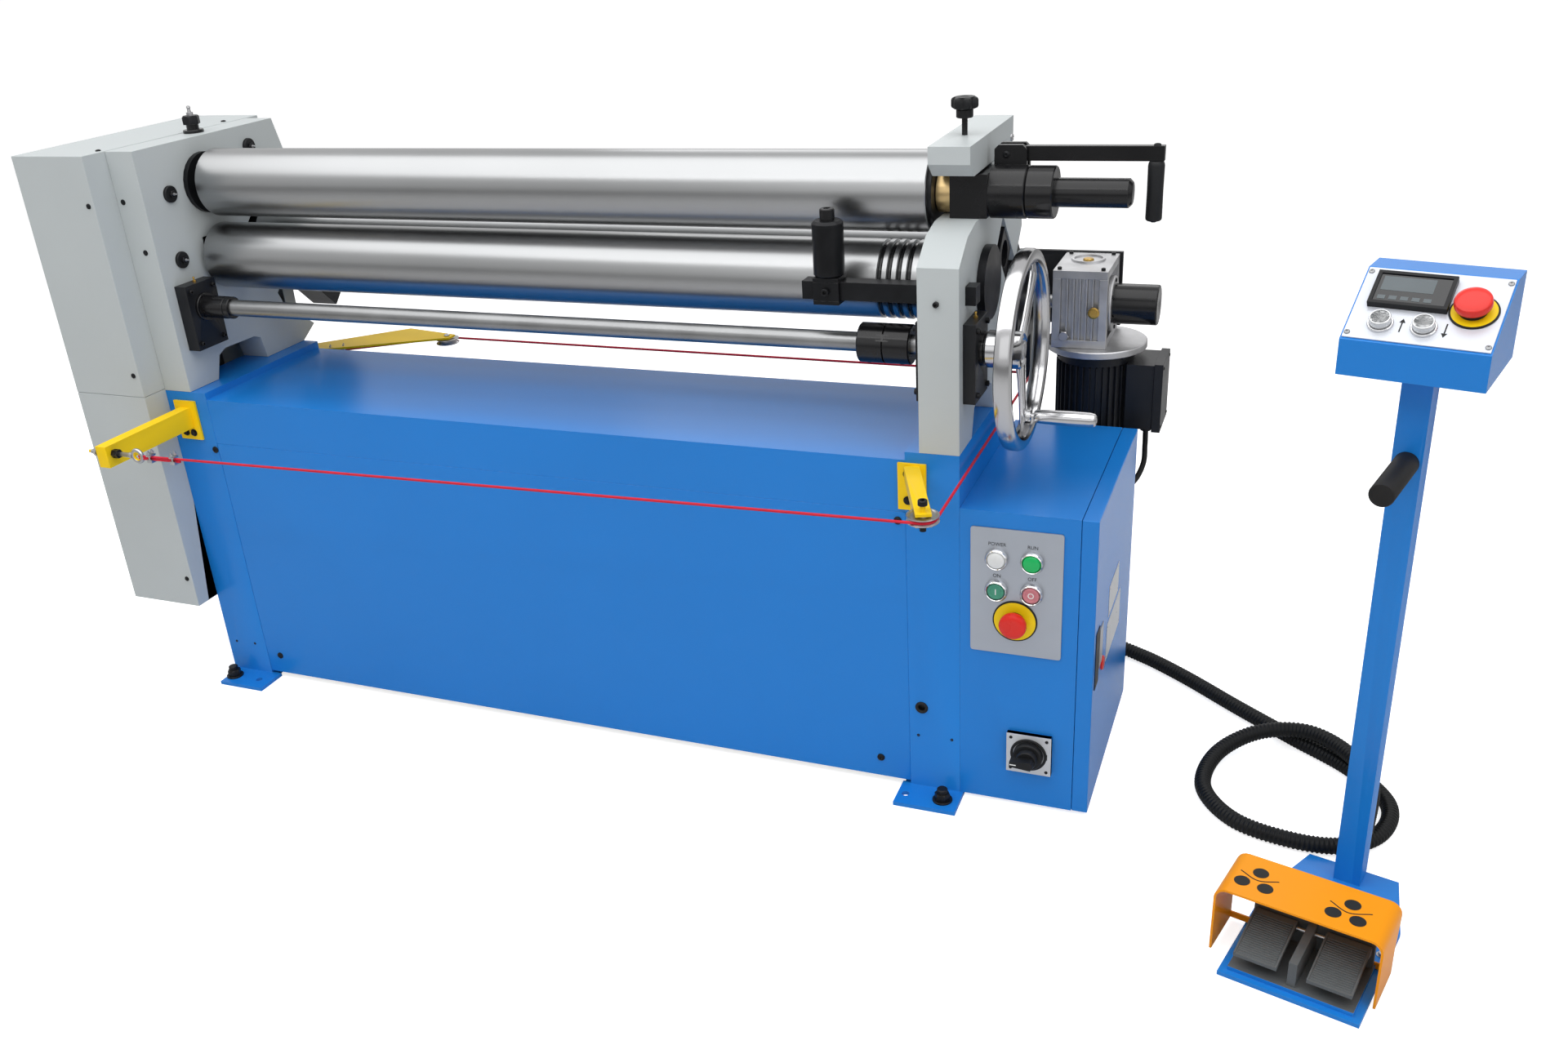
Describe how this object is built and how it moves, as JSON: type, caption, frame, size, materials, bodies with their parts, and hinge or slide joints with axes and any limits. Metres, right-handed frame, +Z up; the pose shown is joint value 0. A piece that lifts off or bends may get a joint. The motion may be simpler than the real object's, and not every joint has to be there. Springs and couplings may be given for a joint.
{
  "type": "electric slip roll machine",
  "caption": "Motor-driven bending rolls on a steel base, with a hinged top clamp, handwheel, trip wire, electrical box and a foot pedestal on a hose.",
  "frame": {"origin": "on the floor, under the middle of the machine's box without the hose", "axes": "+X along the rolls towards the driven end, +Y to the back, +Z up"},
  "size_m": [2.2594, 0.8563, 1.037],
  "materials": {
    "blue_paint": "satin blue paint",
    "grey_paint": "satin light grey paint",
    "ground_steel": "ground and oiled",
    "black_steel": "black oxide and black paint",
    "bronze": "turned bronze",
    "chrome": "polished chrome",
    "cast_aluminium": "cast",
    "black_plastic": "matt",
    "red_plastic": "satin",
    "red_cable": "plastic-coated wire rope",
    "yellow_paint": "gloss yellow paint",
    "orange_paint": "satin orange paint",
    "plate_grey": "brushed face plate",
    "green_button": "satin",
    "rose_button": "satin",
    "grey_plastic": "ribbed, matt"
  },
  "bodies": {
    "machine": {"base_cabinet": "blue_paint", "front_panel": "blue_paint", "left_frame": "grey_paint", "right_frame": "grey_paint", "upper_gear_cover": "grey_paint", "lower_gear_cover": "grey_paint", "upper_left_bearing": "black_steel", "left_worm_box": "black_steel", "right_worm_box": "black_steel", "left_jack": "black_steel", "right_jack": "black_steel", "gear_reducer": "cast_aluminium", "lift_motor": "black_steel", "reducer_bracket": "black_steel", "main_gearmotor": "black_steel", "electrical_box": "blue_paint", "control_plate": "plate_grey", "left_wire_bracket": "yellow_paint", "right_wire_bracket": "yellow_paint", "rear_wire_bracket": "yellow_paint", "trip_wire": "red_cable", "work_guide_bar": "black_steel", "pedestal_stand": "blue_paint", "console": "blue_paint", "console_panel": "plate_grey", "pedal_guard": "orange_paint", "control_hose": "black_plastic"},
    "clamp": {"top_clamp": "grey_paint"},
    "knob": {"clamp_knob": "black_plastic"},
    "cradle": {"upper_roll_block": "black_steel", "bronze_bush": "bronze"},
    "upper_roll_body": {"upper_roll": "ground_steel"},
    "adjuster": {"adjusting_shaft": "ground_steel", "handwheel": "chrome"},
    "wheel_handle_body": {"wheel_handle": "chrome"},
    "lower_carriages": {"lower_left_carriage": "black_steel", "lower_right_carriage": "black_steel"},
    "lower_roll_body": {"lower_roll": "ground_steel"},
    "upper_gear_body": {"upper_gear": "ground_steel"},
    "lower_gear_body": {"lower_gear": "ground_steel"},
    "pinion": {"drive_pinion": "ground_steel"},
    "rear_shaft": {"rear_cross_shaft": "ground_steel"},
    "rear_carriages": {"rear_left_carriage": "black_steel", "rear_right_carriage": "black_steel"},
    "rear_roll_body": {"rear_roll": "ground_steel"},
    "lever": {"release_lever": "black_steel"},
    "grip": {"lever_grip": "black_plastic"},
    "start": {"start_button": "green_button"},
    "stop": {"stop_button": "rose_button"},
    "emergency": {"emergency_button": "red_plastic"},
    "isolator": {"main_switch": "black_plastic"},
    "door": {"box_door": "blue_paint"},
    "up": {"up_button": "plate_grey"},
    "down": {"down_button": "plate_grey"},
    "console_emergency": {"console_emergency_button": "red_plastic"},
    "left_pedal_body": {"left_pedal": "grey_plastic"},
    "right_pedal_body": {"right_pedal": "grey_plastic"},
    "guide": {"work_guide": "black_steel"},
    "front_pulley_body": {"front_pulley": "chrome"},
    "rear_left_pulley_body": {"rear_left_pulley": "chrome"}
  },
  "joints": [
    {"name": "top_clamp_swing", "type": "hinge", "parent": "machine", "child": "clamp", "pos_m": [0.4384, 0.213, 0.956], "axis": [-1, 0, 0], "range_deg": [0, 75]},
    {"name": "clamp_knob_turn", "type": "hinge", "parent": "clamp", "child": "knob", "pos_m": [0.437, 0.054, 1.021], "axis": [0, 0, 1], "range_deg": [0, 720]},
    {"name": "upper_roll_tilt", "type": "hinge", "parent": "machine", "child": "cradle", "pos_m": [-0.9435, 0.048, 0.9105], "axis": [0, -1, 0], "range_deg": [0, 3.5]},
    {"name": "upper_roll_spin", "type": "hinge", "parent": "cradle", "child": "upper_roll_body", "pos_m": [-0.9435, 0.048, 0.9105], "axis": [1, 0, 0], "continuous": true},
    {"name": "adjusting_shaft_turn", "type": "hinge", "parent": "machine", "child": "adjuster", "pos_m": [0.4094, -0.0423, 0.7137], "axis": [1, 0, 0], "range_deg": [-1440, 1440]},
    {"name": "lower_roll_lift", "type": "slide", "parent": "machine", "child": "lower_carriages", "axis": [0, 0, 1], "range_m": [-0.004, 0.004]},
    {"name": "lower_roll_spin", "type": "hinge", "parent": "lower_carriages", "child": "lower_roll_body", "pos_m": [-0.903, 0.048, 0.783], "axis": [1, 0, 0], "continuous": true},
    {"name": "upper_gear_spin", "type": "hinge", "parent": "machine", "child": "upper_gear_body", "pos_m": [-0.998, 0.048, 0.9105], "axis": [1, 0, 0], "continuous": true},
    {"name": "lower_gear_spin", "type": "hinge", "parent": "machine", "child": "lower_gear_body", "pos_m": [-0.998, 0.048, 0.783], "axis": [1, 0, 0], "continuous": true},
    {"name": "drive_pinion_spin", "type": "hinge", "parent": "machine", "child": "pinion", "pos_m": [-0.998, 0.048, 0.68738], "axis": [1, 0, 0], "continuous": true},
    {"name": "wheel_handle_spin", "type": "hinge", "parent": "adjuster", "child": "wheel_handle_body", "pos_m": [0.554, -0.012, 0.608], "axis": [1, 0, 0], "continuous": true},
    {"name": "rear_shaft_turn", "type": "hinge", "parent": "machine", "child": "rear_shaft", "pos_m": [0.5192, 0.34799, 0.67396], "axis": [1, 0, 0], "range_deg": [-2700, 2700]},
    {"name": "rear_roll_lift", "type": "slide", "parent": "machine", "child": "rear_carriages", "axis": [0, -0.7071, 0.7071], "range_m": [-0.03, 0.03]},
    {"name": "rear_roll_spin", "type": "hinge", "parent": "rear_carriages", "child": "rear_roll_body", "pos_m": [-0.903, 0.185, 0.79], "axis": [1, 0, 0], "continuous": true},
    {"name": "release_lever_swing", "type": "hinge", "parent": "cradle", "child": "lever", "pos_m": [0.495, 0.068, 0.9596], "axis": [0, -1, 0], "range_deg": [0, 70]},
    {"name": "lever_grip_spin", "type": "hinge", "parent": "lever", "child": "grip", "pos_m": [0.693, 0.068, 0.9496], "axis": [0, 0, 1], "continuous": true},
    {"name": "start_button_press", "type": "slide", "parent": "machine", "child": "start", "axis": [0, 1, 0], "range_m": [0, 0.003], "stiffness_N_per_m": 400, "springref_m": -0.002},
    {"name": "stop_button_press", "type": "slide", "parent": "machine", "child": "stop", "axis": [0, 1, 0], "range_m": [0, 0.003], "stiffness_N_per_m": 400, "springref_m": -0.002},
    {"name": "emergency_button_press", "type": "slide", "parent": "machine", "child": "emergency", "axis": [0, 1, 0], "range_m": [0, 0.004], "stiffness_N_per_m": 400, "springref_m": -0.002},
    {"name": "main_switch_turn", "type": "hinge", "parent": "machine", "child": "isolator", "pos_m": [0.5751, -0.099, 0.1016], "axis": [0, 1, 0], "range_deg": [0, 90]},
    {"name": "box_door_swing", "type": "hinge", "parent": "machine", "child": "door", "pos_m": [0.664, 0.271, 0.007], "axis": [0, 0, 1], "range_deg": [0, 25]},
    {"name": "up_button_press", "type": "slide", "parent": "machine", "child": "up", "axis": [0.1314, 0.505, -0.853], "range_m": [0, 0.003], "stiffness_N_per_m": 400, "springref_m": -0.002},
    {"name": "down_button_press", "type": "slide", "parent": "machine", "child": "down", "axis": [0.1314, 0.505, -0.853], "range_m": [0, 0.003], "stiffness_N_per_m": 400, "springref_m": -0.002},
    {"name": "console_emergency_press", "type": "slide", "parent": "machine", "child": "console_emergency", "axis": [0.1314, 0.505, -0.853], "range_m": [0, 0.004], "stiffness_N_per_m": 400, "springref_m": -0.002},
    {"name": "left_pedal_press", "type": "hinge", "parent": "machine", "child": "left_pedal_body", "pos_m": [0.94142, -0.30852, 0.043], "axis": [0.9678, -0.2519, 0], "range_deg": [0, 8], "stiffness_Nm_per_rad": 5, "springref_deg": -11.46},
    {"name": "right_pedal_press", "type": "hinge", "parent": "machine", "child": "right_pedal_body", "pos_m": [1.02997, -0.33156, 0.043], "axis": [0.9678, -0.2519, 0], "range_deg": [0, 8], "stiffness_Nm_per_rad": 5, "springref_deg": -11.46},
    {"name": "work_guide_slide", "type": "slide", "parent": "machine", "child": "guide", "axis": [1, 0, 0], "range_m": [-0.015, 0.1]},
    {"name": "front_pulley_spin", "type": "hinge", "parent": "machine", "child": "front_pulley_body", "pos_m": [0.457, -0.252, 0.545], "axis": [0, 0, 1], "continuous": true},
    {"name": "rear_left_pulley_spin", "type": "hinge", "parent": "machine", "child": "rear_left_pulley_body", "pos_m": [-0.677, 0.346, 0.545], "axis": [0, 0, 1], "continuous": true}
  ],
  "couplings": [
    {"joint": "upper_roll_tilt", "follows": "top_clamp_swing", "ratio": 0.046667},
    {"joint": "lower_roll_lift", "follows": "adjusting_shaft_turn", "m_per_rad": 0.00015915},
    {"joint": "rear_shaft_turn", "follows": "rear_roll_lift", "rad_per_m": 1570.8},
    {"joint": "lower_gear_spin", "follows": "lower_roll_spin", "ratio": 1},
    {"joint": "upper_gear_spin", "follows": "lower_roll_spin", "ratio": -1},
    {"joint": "upper_roll_spin", "follows": "lower_roll_spin", "ratio": -1},
    {"joint": "drive_pinion_spin", "follows": "lower_roll_spin", "ratio": -2}
  ]
}
